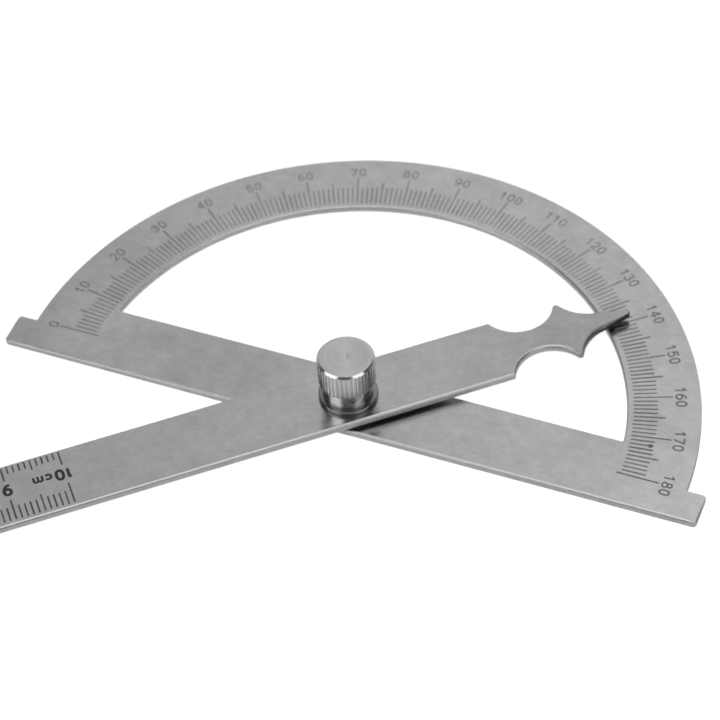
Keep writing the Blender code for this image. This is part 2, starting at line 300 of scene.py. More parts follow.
def degree_marks():
    """Lines and numerals on the bow, 0 at -X and 180 at +X."""
    outlines = []
    for degree in range(181):
        ux, uy = unit(180 - degree)
        r_in = TICK_R_IN_END if degree in (0, 180) else TICK_R_IN
        r_out = TICK_R_OUT[max(step for step in TICK_R_OUT if degree % step == 0)]
        # the cutter wandered a little from line to line
        r_in += 0.05 * math.sin(2.1 * degree)
        r_out += 0.06 * math.sin(1.3 * degree + 1.0)
        width = HAIR * (1.0 + 0.12 * math.sin(0.7 * degree))
        outlines.append(ribbon([(ux * r_in, uy * r_in), (ux * r_out, uy * r_out)], width))
    for degree in range(0, 181, 10):
        text = str(degree)
        for i, char in enumerate(text):
            shift = (i - (len(text) - 1) / 2) * DEGREE_FIG_PITCH
            ux, uy = unit(180 - degree - shift)
            for outline in glyph(char, DEGREE_FIG_W, DEGREE_FIG_H, HAIR):
                outlines.append([(ux * (DEGREE_FIG_R + y) + uy * (x - DEGREE_FIG_W / 2),
                                  uy * (DEGREE_FIG_R + y) - ux * (x - DEGREE_FIG_W / 2))
                                 for x, y in outline])
    # a small uneven dot on the 172 degree line
    angles = [2 * math.pi * i / 16 for i in range(16)]
    outlines.append([(DOT_X + DOT_R * math.cos(a) * (1 + 0.12 * math.sin(3 * a)),
                      DOT_Y + DOT_R * math.sin(a)) for a in angles])
    return [(outline, FILL) for outline in outlines]


RULER_LENGTH = 100
RULER_EDGE_Y = 6.05, -5.55           # outer tick ends on the +Y and -Y sides
RULER_TICK_Y = {1: (4.5, -2.65), 5: (3.85, -1.77), 10: (3.1, -1.16)}   # inner ends
RULER_TICK_W = 0.29
RULER_FIG_W, RULER_FIG_H, RULER_FIG_Y = 1.76, 2.55, 2.30
# the last label, "10 cm": character, width, height, start x, foot y, stroke
LAST_LABEL = [
    ("1", 1.20, RULER_FIG_H, -48.75, RULER_FIG_Y, 0.54),
    ("0", 1.80, RULER_FIG_H, -50.00, RULER_FIG_Y, 0.54),
    ("c", 1.36, 1.46, -52.15, 2.09, 0.44),
    ("m", 1.90, 1.46, -53.66, 2.09, 0.42),
]


def ruler_marks():
    """Millimetre ticks along both sides of the tail, figures read from +Y."""
    marks = []
    for tick in range(1, RULER_LENGTH + 1):
        x = -ARM_TAIL + tick
        high, low = RULER_TICK_Y[max(step for step in RULER_TICK_Y if tick % step == 0)]
        width = RULER_TICK_W * (1.0 + 0.10 * math.sin(1.7 * tick))
        low_edge = RULER_EDGE_Y[1] + 0.05 * math.sin(tick)
        marks.append((ribbon([(x, RULER_EDGE_Y[0]), (x, high)], width, True), FILL))
        marks.append((ribbon([(x, low), (x, low_edge)], width, True), FILL))
    labels = [(str(k), RULER_FIG_W, RULER_FIG_H, -ARM_TAIL + 10 * k + RULER_FIG_W / 2,
               RULER_FIG_Y, 0.55) for k in range(1, 10)]
    for char, width, height, start, foot, stroke in labels + LAST_LABEL:
        for outline in glyph(char, width, height, stroke, True):
            marks.append(([(start - x, foot - y) for x, y in outline], FIGURES))
    return marks


# ============================================================ mesh builders
def link_object(name, data):
    ob = bpy.data.objects.new(name, data)
    bpy.context.scene.collection.objects.link(ob)
    return ob


def smooth_mesh(name, verts, faces, slots, materials):
    mesh = bpy.data.meshes.new(name)
    mesh.from_pydata(verts, [], faces)
    mesh.polygons.foreach_set("material_index", slots)
    for material in materials:
        mesh.materials.append(material)
    mesh.shade_smooth()
    return mesh


class Net:
    """Collects faces with their own normals, then writes one closed mesh."""

    def __init__(self):
        self.verts, self.index = [], {}
        self.faces, self.normals, self.slots = [], [], []

    def vertex(self, point):
        key = tuple(round(value, 5) for value in point)
        if key not in self.index:
            self.index[key] = len(self.verts)
            self.verts.append(tuple(value * MM for value in point))
        return self.index[key]

    def face(self, points, normals, slot):
        """Add a face; points that fall together are merged."""
        corners, kept = [], []
        for point, normal in zip(points, normals):
            i = self.vertex(point)
            if i not in corners:
                corners.append(i)
                kept.append(normal)
        if len(corners) > 2:
            self.faces.append(corners)
            self.normals += kept
            self.slots.append(slot)

    def build(self, name, materials):
        mesh = smooth_mesh(name, self.verts, self.faces, self.slots, materials)
        mesh.normals_split_custom_set(self.normals)
        mesh.update()
        return link_object(name, mesh)


def edge_normals(loop, sign):
    """For each vertex: mitre direction, mitre stretch, and the outward normals
    to use for the edge before and the edge after it."""
    edges = []
    for (x0, y0), (x1, y1) in zip(loop, loop[1:] + loop[:1]):
        length = math.hypot(x1 - x0, y1 - y0)
        edges.append((sign * (y1 - y0) / length, -sign * (x1 - x0) / length))
    out = []
    for i, after in enumerate(edges):
        before = edges[i - 1]
        x, y = before[0] + after[0], before[1] + after[1]
        length = math.hypot(x, y)
        mitre = x / length, y / length
        cos_half = mitre[0] * before[0] + mitre[1] * before[1]
        if cos_half > math.cos(math.radians(16)):        # shade gentle turns smooth
            before = after = mitre
        out.append((mitre, 1 / cos_half, before, after))
    return out


def refine(loop):
    """Add points near the ends of long edges, so a size can change there."""
    out = []
    for (x0, y0), (x1, y1) in zip(loop, loop[1:] + loop[:1]):
        length = math.hypot(x1 - x0, y1 - y0)
        out.append((x0, y0))
        if length > 3.0:
            cuts = [0.3, 0.6, 0.9, 1.3]
            parts = max(1, int(length / 12))
            cuts += [1.3 + (length - 2.6) * i / parts for i in range(1, parts)]
            cuts += [length - cut for cut in (1.3, 0.9, 0.6, 0.3)]
            out += [(x0 + (x1 - x0) * cut / length, y0 + (y1 - y0) * cut / length)
                    for cut in cuts]
    return out


def roll_sizes(loop, sign, wanted):
    """The die roll at each point, kept below the radius of an outer corner."""
    count = len(loop)
    sizes, gaps = [], []
    for i in range(count):
        (x0, y0), (x1, y1), (x2, y2) = loop[i - 1], loop[i], loop[(i + 1) % count]
        before, after = math.hypot(x1 - x0, y1 - y0), math.hypot(x2 - x1, y2 - y1)
        cross = sign * ((x1 - x0) * (y2 - y1) - (y1 - y0) * (x2 - x1)) / (before * after)
        turn = math.asin(max(-1.0, min(1.0, cross)))
        sizes.append(wanted(x1, y1))
        gaps.append(after)
        if turn > 0.02 and min(before, after) < 1.0:
            sizes[-1] = min(sizes[-1], 0.8 * min(before, after) / turn)
    slope = 0.6                      # fastest change of size along the outline
    for _ in range(2):
        for i in range(count):
            sizes[i] = min(sizes[i], sizes[i - 1] + slope * gaps[i - 1])
        for i in reversed(range(count)):
            sizes[i] = min(sizes[i], sizes[(i + 1) % count] + slope * gaps[i])
    return sizes


def signed_area(loop):
    return sum(x0 * y1 - x1 * y0 for (x0, y0), (x1, y1)
               in zip(loop, loop[1:] + loop[:1])) / 2


def cap(net, loops, marks, z, up, face_slot):
    """A flat face inside the first loop and outside the others.

    marks holds (outline, slot) pairs, sunk into it by MARK_DEPTH.
    """
    coords, outlines = [], []
    for outline in loops + [mark[0] for mark in marks]:
        outlines.append(list(range(len(coords), len(coords) + len(outline))))
        coords += outline
    verts, _, tris, vert_sources, _, tri_sources = delaunay_2d_cdt(
        [Vector(point) for point in coords], [], outlines, 1, 1e-6, True)
    places = [coords[source[0]] if source else (vert[0], vert[1])
              for vert, source in zip(verts, vert_sources)]
    normal = (0.0, 0.0, 1.0 if up else -1.0)
    z_floor = z - MARK_DEPTH
    side_slots = {}
    for tri, sources in zip(tris, tri_sources):
        if 0 not in sources or any(0 < source < len(loops) for source in sources):
            continue                             # outside, or in an opening
        top = max(sources)
        slot = marks[top - len(loops)][1] if top >= len(loops) else FACE
        height = z if slot == FACE else z_floor
        ring = list(tri) if up else list(tri)[::-1]
        net.face([(*places[i], height) for i in ring], [normal] * 3,
                 face_slot if slot == FACE else slot)
        for edge in zip(ring, ring[1:] + ring[:1]):
            side_slots[edge] = slot
    # walls of the marks, where a sunk triangle meets the face
    for (i, j), slot in side_slots.items():
        if slot != FACE and side_slots.get((j, i)) == FACE:
            (x0, y0), (x1, y1) = places[i], places[j]
            length = math.hypot(x1 - x0, y1 - y0)
            if length < 1e-7:
                continue
            normal = (-(y1 - y0) / length, (x1 - x0) / length, 0.0)
            net.face([(x0, y0, z), (x1, y1, z), (x1, y1, z_floor), (x0, y0, z_floor)],
                     [normal] * 4, slot)


def tipped(normal, angle):
    """A level normal tipped from straight up by angle."""
    return normal[0] * math.sin(angle), normal[1] * math.sin(angle), math.cos(angle)


def border(net, loop, is_window, z0, z1, edge):
    """The rolled, sheared and broken side of an outline; returns its end rings."""
    loop = refine(loop)
    sign = 1 if signed_area(loop) > 0 else -1
    if is_window:
        sign = -sign
    normals = edge_normals(loop, sign)
    sizes = roll_sizes(loop, sign, edge)
    angles = [math.pi / 2 * i / ROLL_STEPS for i in range(ROLL_STEPS + 1)]
    # rows down the side: inset and drop as shares of the size, angle, on the roll
    rows = [(1 - math.sin(a), 1 - math.cos(a), a, True) for a in angles]
    rows += [(inset, drop, math.pi - a, False) for inset, drop, a, _ in reversed(rows)]
    deep = ROLL_D / ROLL_W
    rings = []
    for inset, drop, _, upper in rows:
        ring = []
        for (x, y), (mitre, stretch, _, _), size in zip(loop, normals, sizes):
            if not upper:
                size = min(size, BURR_BREAK)
            ring.append((x - mitre[0] * inset * size * stretch,
                         y - mitre[1] * inset * size * stretch,
                         z1 - drop * size * deep if upper else z0 + drop * size))
        rings.append(ring)
    for j in range(len(rows) - 1):
        high, low = rows[j][2], rows[j + 1][2]
        if j < ROLL_STEPS:          # the roll is an ellipse, wider than deep
            high, low = [math.atan2(deep * math.sin(a), math.cos(a)) for a in (high, low)]
        slot = SHEARED if j == ROLL_STEPS else ROLLED
        for i in range(len(loop)):
            i2 = (i + 1) % len(loop)
            here, there = normals[i][3], normals[i2][2]
            points = [rings[j][i], rings[j + 1][i], rings[j + 1][i2], rings[j][i2]]
            tips = [tipped(here, high), tipped(here, low),
                    tipped(there, low), tipped(there, high)]
            net.face(points[::sign], tips[::sign], slot)
    return [[point[:2] for point in ring] for ring in (rings[0], rings[-1])]


def bore_ring(radius):
    return [(radius * math.cos(2 * math.pi * i / BORE_STEPS),
             radius * math.sin(2 * math.pi * i / BORE_STEPS)) for i in range(BORE_STEPS)]


def bore(net, profile):
    """The wall of the pivot hole."""
    for (r0, z0), (r1, z1) in zip(profile, profile[1:]):
        high, low = bore_ring(r0), bore_ring(r1)
        length = math.hypot(r0 - r1, z0 - z1)
        out, rise = -(z0 - z1) / length, -(r0 - r1) / length
        normals = []
        for i in range(BORE_STEPS + 1):
            angle = 2 * math.pi * i / BORE_STEPS
            normals.append((out * math.cos(angle), out * math.sin(angle), rise))
        for i in range(BORE_STEPS):
            i2 = (i + 1) % BORE_STEPS
            net.face([(*high[i], z0), (*high[i2], z0), (*low[i2], z1), (*low[i], z1)],
                     [normals[i], normals[i + 1], normals[i + 1], normals[i]], FACE)


def sheet(name, loops, z0, z1, edge, marks, hole, materials, under=FACE):
    """A flat piece with rounded edges, engraved marks and a turned hole.

    loops holds the outline, then any windows. edge gives the rounding at a
    point of an outline. hole is its (r, z) profile from the top face to the
    underside. under is the slot of the underside's material.
    """
    net = Net()
    tops, bottoms = [], []
    for k, loop in enumerate(loops):
        top, bottom = border(net, loop, k > 0, z0, z1, edge)
        tops.append(top)
        bottoms.append(bottom)
    tops.append(bore_ring(hole[0][0]))
    bottoms.append(bore_ring(hole[-1][0]))
    bore(net, hole)
    cap(net, tops, marks, z1, True, FACE)
    cap(net, bottoms, [], z0, False, under)
    return net.build(name, materials)


def fillet(before, corner, after, radius, steps):
    """Points rounding a corner of a profile."""
    corner = np.array(corner, float)
    back, ahead = np.array(before, float) - corner, np.array(after, float) - corner
    back, ahead = back / np.linalg.norm(back), ahead / np.linalg.norm(ahead)
    angle = math.acos(max(-1, min(1, float(back @ ahead))))
    setback = radius / math.tan(angle / 2)
    bisector = (back + ahead) / np.linalg.norm(back + ahead)
    centre = corner + bisector * (radius / math.sin(angle / 2))
    start, end = corner + back * setback - centre, corner + ahead * setback - centre
    sweep = math.acos(max(-1, min(1, float(start @ end) / (radius * radius))))
    return [tuple(centre + (math.sin(sweep * (1 - i / steps)) * start
                            + math.sin(sweep * i / steps) * end) / math.sin(sweep))
            for i in range(steps + 1)]


def turned(name, profile, steps, materials, radial=None, closed=False, slot_of=None):
    """A body turned about Z from an (r, z) profile.

    radial(theta, z, r) may pull a point in, for knurls and threads.
    slot_of(r, z) picks the material slot of a band from its middle.
    """
    verts, starts = [], []
    for r, z in profile:
        starts.append(len(verts))
        for i in range(steps if r > 0 else 1):       # one vertex on the axis
            theta = 2 * math.pi * i / steps
            pulled = radial(theta, z, r) if radial else r
            verts.append((pulled * math.cos(theta) * MM, pulled * math.sin(theta) * MM,
                          z * MM))
    if closed:
        profile = profile + profile[:1]
        starts.append(0)
    faces, slots = [], []
    for j, ((r0, z0), (r1, z1)) in enumerate(zip(profile, profile[1:])):
        high, low = starts[j], starts[j + 1]
        slot = slot_of((r0 + r1) / 2, (z0 + z1) / 2) if slot_of else 0
        for i in range(steps):
            i2 = (i + 1) % steps
            if r0 == 0:
                faces.append((high, low + i, low + i2))
            elif r1 == 0:
                faces.append((high + i, low, high + i2))
            else:
                faces.append((high + i, low + i, low + i2, high + i2))
            slots.append(slot)
    mesh = smooth_mesh(name, verts, faces, slots, materials)
    mesh.set_sharp_from_angle(angle=math.radians(32))
    mesh.update()
    ob = link_object(name, mesh)
    shading = ob.modifiers.new("even_shading", "WEIGHTED_NORMAL")
    shading.mode = "FACE_AREA"
    shading.weight = 80
    shading.keep_sharp = True
    return ob


# ============================================================ materials
class Nodes:
    """Short-hand for building the emptied node tree of its owner."""

    def __init__(self, owner):
        owner.use_nodes = True
        self.tree = owner.node_tree
        self.tree.nodes.clear()

    def put(self, node, inputs):
        """Link the sockets and set the plain values, by input name or number."""
        for key, value in inputs.items():
            if isinstance(value, bpy.types.NodeSocket):
                self.tree.links.new(value, node.inputs[key])
            else:
                node.inputs[key].default_value = value

    def add(self, kind, inputs=None, **props):
        node = self.tree.nodes.new(kind)
        for key, value in props.items():
            setattr(node, key, value)
        self.put(node, inputs or {})
        return node.outputs

    def math(self, operation, *values):
        values = dict(enumerate(values + (0.0,) * (3 - len(values))))
        return self.add("ShaderNodeMath", values, operation=operation)[0]

    def times(self, *values):
        return self.math("MULTIPLY", *values)

    def plus(self, *values):
        return self.math("ADD", *values)

    def times_plus(self, *values):
        return self.math("MULTIPLY_ADD", *values)

    def centred(self, value):
        return self.math("SUBTRACT", value, 0.5)

    def ramp(self, value, over, to=(0.0, 1.0), kind="LINEAR"):
        """Map the range `over` onto the range `to`."""
        return self.add("ShaderNodeMapRange", {
            "Value": value, "From Min": over[0], "From Max": over[1],
            "To Min": to[0], "To Max": to[1]}, interpolation_type=kind)[0]

    def ease(self, value, over, to=(0.0, 1.0)):
        return self.ramp(value, over, to, "SMOOTHSTEP")

    def noise(self, vector, scale=1.0, detail=2.0, rough=0.5, stretch=None, distortion=0.0):
        if stretch is not None:
            vector = self.add("ShaderNodeMapping", {"Vector": vector, "Scale": stretch})[0]
        return self.add("ShaderNodeTexNoise", {
            "Vector": vector, "Scale": scale, "Detail": detail, "Roughness": rough,
            "Distortion": distortion})["Fac"]

    def axes(self, vector):
        return self.add("ShaderNodeSeparateXYZ", {0: vector})

    def grey(self, value):
        return self.add("ShaderNodeCombineColor", {0: value, 1: value, 2: value})[0]

    def tint(self, change, level):
        """level, changed by a share of itself."""
        return self.times(self.plus(change, 1.0), level)

    def bump(self, height, strength, distance):
        return self.add("ShaderNodeBump", {
            "Strength": strength, "Distance": distance, "Height": height})[0]

    def mix_shader(self, factor, first, second):
        return self.add("ShaderNodeMixShader", {0: factor, 1: first, 2: second})[0]

    def is_camera_ray(self):
        return self.add("ShaderNodeLightPath")["Is Camera Ray"]


def surface_material(name, build):
    """A Principled material; build(nodes, place) returns the values of its inputs."""
    material = bpy.data.materials.new(name)
    nodes = Nodes(material)
    output = nodes.tree.nodes.new("ShaderNodeOutputMaterial")
    surface = nodes.tree.nodes.new("ShaderNodeBsdfPrincipled")
    nodes.put(output, {0: surface.outputs[0]})
    nodes.put(surface, build(nodes, nodes.add("ShaderNodeTexCoord")["Object"]))
    return material


def satin_steel(name, level, rough, seed, zones):
    """Fine-ground stainless sheet: grain along X, blotches and small flecks."""
    def build(nodes, place):
        # zone scales the tone by position; on the plate it is painted light and shade
        zone = zones(nodes, place)
        place = nodes.add("ShaderNodeMapping", {
            "Vector": place, "Location": (0.37 * seed, 0.11 * seed, 0.05 * seed)})[0]
        fine = nodes.noise(place, detail=3.0, rough=0.65, stretch=(260.0, 7000.0, 7000.0))
        grain = nodes.noise(place, rough=0.6, stretch=(90.0, 1900.0, 1900.0))
        blotch = nodes.noise(place, scale=42.0, detail=4.0, rough=0.55,
                             stretch=(0.8, 1.3, 1.0), distortion=0.6)
        cloud = nodes.noise(place, scale=130.0, detail=3.0, rough=0.6)
        mottle = nodes.noise(place, scale=480.0)
        fleck = nodes.noise(place, scale=1300.0, stretch=(0.7, 1.4, 1.0))
        # how strongly each pattern changes the tone
        tone = nodes.times(nodes.centred(fine), 0.10)
        for pattern, weight in ((grain, 0.07), (blotch, 0.20), (cloud, 0.26),
                                (mottle, 0.24), (fleck, 0.22)):
            tone = nodes.times_plus(nodes.centred(pattern), weight, tone)
        tone = nodes.times(nodes.times(nodes.plus(tone, 1.0), zone), level)
        # blotches and grain roughen the finish a little
        roughness = nodes.times_plus(blotch, 0.10, rough - 0.05)
        roughness = nodes.times_plus(nodes.centred(fine), 0.08, roughness)
        height = nodes.times_plus(fine, 0.6, nodes.times(grain, 0.4))
        return {"Base Color": nodes.grey(tone), "Metallic": 1.0, "Roughness": roughness,
                "Normal": nodes.bump(height, strength=0.25, distance=0.000004)}
    return surface_material(name, build)


def tip_shade(nodes, place, least):
    """Painted shade: 1 along the piece, falling to least toward +X."""
    return nodes.ease(nodes.axes(place)[0], over=(0.0375, 0.0440), to=(1.0, least))


def rolled_edge(name, level, rough, tip):
    """The smooth, slightly matt roll of a blanked and tumbled edge."""
    def build(nodes, place):
        cloud = nodes.noise(place, scale=300.0, detail=3.0, rough=0.6)
        fleck = nodes.noise(place, scale=1500.0)
        # weights: clouds 0.30, flecks 0.20
        tone = nodes.times_plus(nodes.centred(cloud), 0.30,
                                nodes.times(nodes.centred(fleck), 0.20))
        # toward +X the colour falls to the tip value: painted shade
        tone = nodes.times(nodes.tint(tone, level), tip_shade(nodes, place, tip))
        return {"Base Color": nodes.grey(tone), "Metallic": 1.0,
                "Roughness": nodes.ramp(cloud, over=(0.25, 0.75),
                                        to=(rough - 0.04, rough + 0.04))}
    return surface_material(name, build)


def mark_fill(name, level, paleness=1.0):
    """The matt dark floor of an etched mark, a little uneven.

    Its last argument says how many times paler it is between the piece's -X and
    +X ends; the +X end keeps the level and the -X end is less pale.
    """
    def build(nodes, place):
        grit = nodes.noise(place, scale=3500.0, detail=3.0, rough=0.6)
        cloud = nodes.noise(place, scale=300.0)
        x = nodes.axes(place)[0]
        tone = nodes.times(
            nodes.ease(x, over=(0.028, 0.050), to=(level * paleness, level)),
            nodes.ease(x, over=(-0.052, -0.036), to=(0.4 + 0.6 / paleness, 1.0)))
        tone = nodes.times(nodes.plus(grit, cloud), tone)
        return {"Base Color": nodes.grey(tone), "Metallic": 0.0,
                "Roughness": nodes.ramp(grit, over=(0.0, 1.0), to=(0.55, 0.85)),
                "Specular IOR Level": 0.25,
                "Normal": nodes.bump(grit, strength=0.5, distance=0.00001)}
    return surface_material(name, build)


def sheared_edge(name, level, rough, tip):
    """The blanked side of the sheet, with upright drag lines."""
    def build(nodes, place):
        drag = nodes.noise(place, detail=3.0, rough=0.65, stretch=(4200.0, 4200.0, 350.0))
        patch = nodes.noise(place, scale=380.0, detail=3.0, rough=0.6)
        # drag lines and patches weigh the same, 0.5
        tone = nodes.times_plus(nodes.centred(drag), 0.5,
                                nodes.times(nodes.centred(patch), 0.5))
        # toward +X the colour falls to the tip value: painted shade
        tone = nodes.times(nodes.tint(tone, level), tip_shade(nodes, place, tip))
        return {"Base Color": nodes.grey(tone), "Metallic": 1.0,
                "Roughness": nodes.ramp(drag, over=(0.2, 0.8),
                                        to=(rough - 0.06, rough + 0.10)),
                "Normal": nodes.bump(drag, strength=0.6, distance=0.00001)}
    return surface_material(name, build)


def turned_metal(name, level, rough, ring_depth, aniso, wear=0.06):
    """Plated or bare turned metal: concentric tool lines, small marks and wear."""
    def build(nodes, place):
        x, y, z = nodes.axes(place)
        radius = nodes.math("SQRT", nodes.plus(nodes.times(x, x), nodes.times(y, y)))
        line = nodes.add("ShaderNodeCombineXYZ", {0: radius, 1: z})[0]
        rings = nodes.noise(line, scale=9000.0, detail=3.0, rough=0.7)
        wide = nodes.noise(line, scale=1500.0)
        spots = nodes.noise(place, scale=900.0, detail=4.0, rough=0.6)
        cloud = nodes.noise(place, scale=260.0, detail=3.0, rough=0.55)
        # clouds change the tone twice as much as the tool lines
        tone = nodes.times_plus(nodes.centred(rings), wear,
                                nodes.times(nodes.centred(cloud), wear * 2.0))
        tone = nodes.times_plus(nodes.centred(wide), wear, tone)
        tone = nodes.tint(tone, level)
        # spots and clouds vary the roughness, never below a near-mirror
        roughness = nodes.times_plus(nodes.centred(spots), 0.10, rough)
        roughness = nodes.times_plus(nodes.centred(cloud), 0.08, roughness)
        height = nodes.times_plus(wide, 0.5, rings)
        return {"Base Color": nodes.grey(tone), "Metallic": 1.0,
                "Roughness": nodes.math("MAXIMUM", roughness, 0.03),
                "Anisotropic": aniso, "Anisotropic Rotation": 0.25,
                "Tangent": nodes.add("ShaderNodeTangent", direction_type="RADIAL",
                                     axis="Z")[0],
                "Normal": nodes.bump(height, strength=0.5, distance=ring_depth)}
    return surface_material(name, build)


def plate_zones(nodes, place):
    """Painted light and shade: the rail is darker on the -X side of the pivot and
    at its -X end, and lighter at its +X end; the bow is a little darker toward +X."""
    x, y, _ = nodes.axes(place)
    rail = nodes.ease(y, over=(0.004, 0.011), to=(1.0, 0.0))
    painted_dark = nodes.times(nodes.ease(x, over=(-0.040, -0.028)),
                       nodes.ease(x, over=(-0.020, -0.002), to=(1.0, 0.0)))
    pale = nodes.ease(x, over=(0.040, 0.060))
    end = nodes.ease(x, over=(-0.060, -0.053), to=(1.0, 0.0))
    # the change in tone that each zone of the rail makes: painted light and shade
    tone = nodes.times_plus(painted_dark, -0.10, 1.0)
    tone = nodes.times_plus(pale, 0.13, tone)
    tone = nodes.times_plus(end, -0.10, tone)
    tone = nodes.plus(tone, nodes.ease(x, over=(-0.040, -0.046), to=(0.0, 0.06)))
    tone = nodes.times_plus(nodes.math("SUBTRACT", tone, 1.0), rail, 1.0)
    tone = nodes.times(tone, nodes.ramp(x, over=(-0.058, -0.040), to=(0.955, 1.0)))
    bow = nodes.times(nodes.ease(x, over=(0.008, 0.024)), nodes.ease(y, over=(0.018, 0.032)))
    return nodes.times(tone, nodes.times_plus(bow, -0.045, 1.0))


def arm_zones(nodes, place):
    """The arm is darker toward the pointed end."""
    x = nodes.axes(place)[0]
    return nodes.times(nodes.ramp(x, over=(0.000, 0.024), to=(1.0, 0.93)),
                       nodes.ease(x, over=(0.027, 0.039), to=(1.0, 0.86)))


plate_steel = satin_steel("satin_plate", level=0.58, rough=0.22, seed=1.0, zones=plate_zones)
arm_steel = satin_steel("satin_arm", level=0.565, rough=0.21, seed=3.0, zones=arm_zones)
scale_fill = mark_fill("scale_marks", level=0.19, paleness=1.9)
tick_fill = mark_fill("ruler_ticks", level=0.10)
figure_fill = mark_fill("ruler_figures", level=0.045)
plate_rolled = rolled_edge("plate_rolled_edge", level=0.60, rough=0.30, tip=1.0)
# On the arm, tip darkens the rolled edge and the side toward the point: painted shade.
arm_rolled = rolled_edge("arm_rolled_edge", level=0.56, rough=0.30, tip=0.52)
plate_sheared = sheared_edge("plate_edge", level=0.60, rough=0.34, tip=1.0)
arm_sheared = sheared_edge("arm_edge", level=0.58, rough=0.32, tip=0.16)
# The arm's underside is drawn darker than its top, and near black toward the point: painted
# shade, seen in its reflection on the plate.
arm_under_painted_shade = sheared_edge("arm_underside_painted_shade", level=0.44, rough=0.34, tip=0.12)
nut_top = turned_metal("nut_top", level=0.62, rough=0.25, ring_depth=0.0000008,
                       aniso=0.72, wear=0.13)
nut_plating = turned_metal("nut_plating", level=0.74, rough=0.17, ring_depth=0.0000004,
                           aniso=0.0)
washer_plating = turned_metal("washer_plating", level=0.28, rough=0.20,
                              ring_depth=0.0000008, aniso=0.2)
stud_steel = turned_metal("stud_steel", level=0.50, rough=0.28, ring_depth=0.0000020,
                          aniso=0.3, wear=0.12)
spacer_steel = turned_metal("spacer_steel", level=0.45, rough=0.34, ring_depth=0.0000016,
                            aniso=0.2, wear=0.12)


# ============================================================ pieces
def register(ob, carrier, node):
    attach(ob, carrier)
    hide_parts(node)


def plate_roll(x, y):
    """Widest along the rail's foot and the crown of the window."""
    radius = math.hypot(x, y)
    if y < -4.0:
        return ROLL_W if abs(x) < TAB_X - 1.0 else 0.34
    if radius < 48.0 and y > RAIL_HEAD_Y + 0.5:
        return 0.26 + (ROLL_W - 0.26) * max(0.0, (y / radius - 0.55) / 0.45)
    return 0.16


plate = sheet("protractor_sheet", [plate_outer(), plate_window()], PLATE_Z0, PLATE_Z1,
              plate_roll, degree_marks(),
              [(PLATE_BORE_R + BORE_BREAK, PLATE_Z1), (PLATE_BORE_R, PLATE_Z1 - BORE_BREAK),
               (PLATE_BORE_R, PLATE_Z0 + 1.07), (SINK_R, PLATE_Z0 + 0.17),
               (SINK_R, PLATE_Z0)],
              [plate_steel, scale_fill, plate_sheared, plate_rolled])
register(plate, "base", "protractor_plate")


def arm_roll(x, y):
    """Less roll on the +Y side, and less along the sharp tip."""
    size = 0.28 + (ROLL_W - 0.28) * clamp_unit((2.0 - y) / 4.0)
    return size + (0.16 - size) * clamp_unit((x - 46.5) / 4.0)


arm = sheet("swing_arm_sheet", [arm_outline()], ARM_Z0, ARM_Z1, arm_roll, ruler_marks(),
            [(ARM_BORE_R + BORE_BREAK, ARM_Z1), (ARM_BORE_R, ARM_Z1 - BORE_BREAK),
             (ARM_BORE_R, ARM_Z0 + BORE_BREAK), (ARM_BORE_R + BORE_BREAK, ARM_Z0)],
            [arm_steel, tick_fill, arm_sheared, arm_rolled, figure_fill, arm_under_painted_shade],
            UNDERSIDE)
arm.matrix_world = Matrix.Rotation(math.radians(ARM_ANGLE), 4, "Z")
register(arm, "arm", "pointer_arm")

WASHER_BORE_R, WASHER_BREAK = 2.15, 0.1


def washer(name, r_out, z0, z1, edge_r, steps, material):
    """A flat ring with rounded outer edges and a lightly broken bore."""
    r_in, r_mid = WASHER_BORE_R, WASHER_BORE_R + 0.5
    high, low = (r_out, z1), (r_out, z0)
    profile = [(r_in + WASHER_BREAK, z1), (r_mid, z1)]
    profile += fillet((r_mid, z1), high, low, edge_r, 6)
    profile += fillet(high, low, (r_mid, z0), edge_r, 6)
    profile += [(r_mid, z0), (r_in + WASHER_BREAK, z0), (r_in, z0 + WASHER_BREAK),
                (r_in, z1 - WASHER_BREAK)]
    return turned(name, profile, steps, [material], closed=True)


clamp_washer = washer("clamp_washer_turned", CLAMP_R, CLAMP_Z0, CLAMP_Z1, edge_r=0.20,
                      steps=192, material=washer_plating)
register(clamp_washer, "clamp", "clamp_washer")
spacer_washer = washer("spacer_washer_turned", SPACER_R, SPACER_Z0, SPACER_Z1, edge_r=0.12,
                       steps=160, material=spacer_steel)
register(spacer_washer, "base", "spacer_washer")

# stud: flush countersunk head below, M4 thread above
THREAD_Z0, PITCH, THREAD_DEPTH, STUD_R = 3.5, 0.7, 0.30, 1.95
# the cone of the head, then its face from the rim to a dimple at the centre: r, z
STUD_HEAD = [(3.30, 0.12), (3.30, 0.05), (3.25, 0.0), (2.6, 0.0), (2.2, 0.015),
             (1.0, 0.015), (0.55, 0.03), (0.3, 0.09), (0, 0.13)]


def thread(theta, z, r):
    if z < THREAD_Z0 or r < STUD_R - 0.001:
        return r
    turn = ((z - PITCH * theta / (2 * math.pi)) / PITCH) % 1.0
    groove = clamp_unit(abs(turn - 0.5) * 2 * 1.25 - 0.12)
    fade = clamp_unit((z - THREAD_Z0) / 0.5) * clamp_unit((STUD_Z1 + 0.25 - z) / 0.6)
    return r - THREAD_DEPTH * groove * fade


def stud_profile():
    profile = [(0, STUD_Z1), (STUD_R - 0.45, STUD_Z1), (STUD_R - 0.38, STUD_Z1 - 0.02),
               (STUD_R - 0.02, STUD_Z1 - 0.38)]
    z = STUD_Z1 - 0.40
    while z > THREAD_Z0 - 0.2:
        profile.append((STUD_R, z))
        z -= 0.05
    return profile + [(STUD_R, 2.0), (STUD_R, 1.02)] + STUD_HEAD


stud = turned("pivot_stud_turned", stud_profile(), 96, [stud_steel], radial=thread)
register(stud, "base", "pivot_stud")

# thumb nut: straight knurl, top chamfer, flared underside, neck and blind bore
RIBS, KNURL_DEPTH = 40, 0.28
CREST, FLANK = 0.52, 0.30            # parts of half a rib
CROWN = 0.025                        # fall of a crest toward its sides
NECK_R, NECK_TOP, FLARE_Z, CHAMFER_Z, TOP_R = 4.40, 7.05, 7.65, 12.40, 4.60
NUT_BORE_R = 2.05
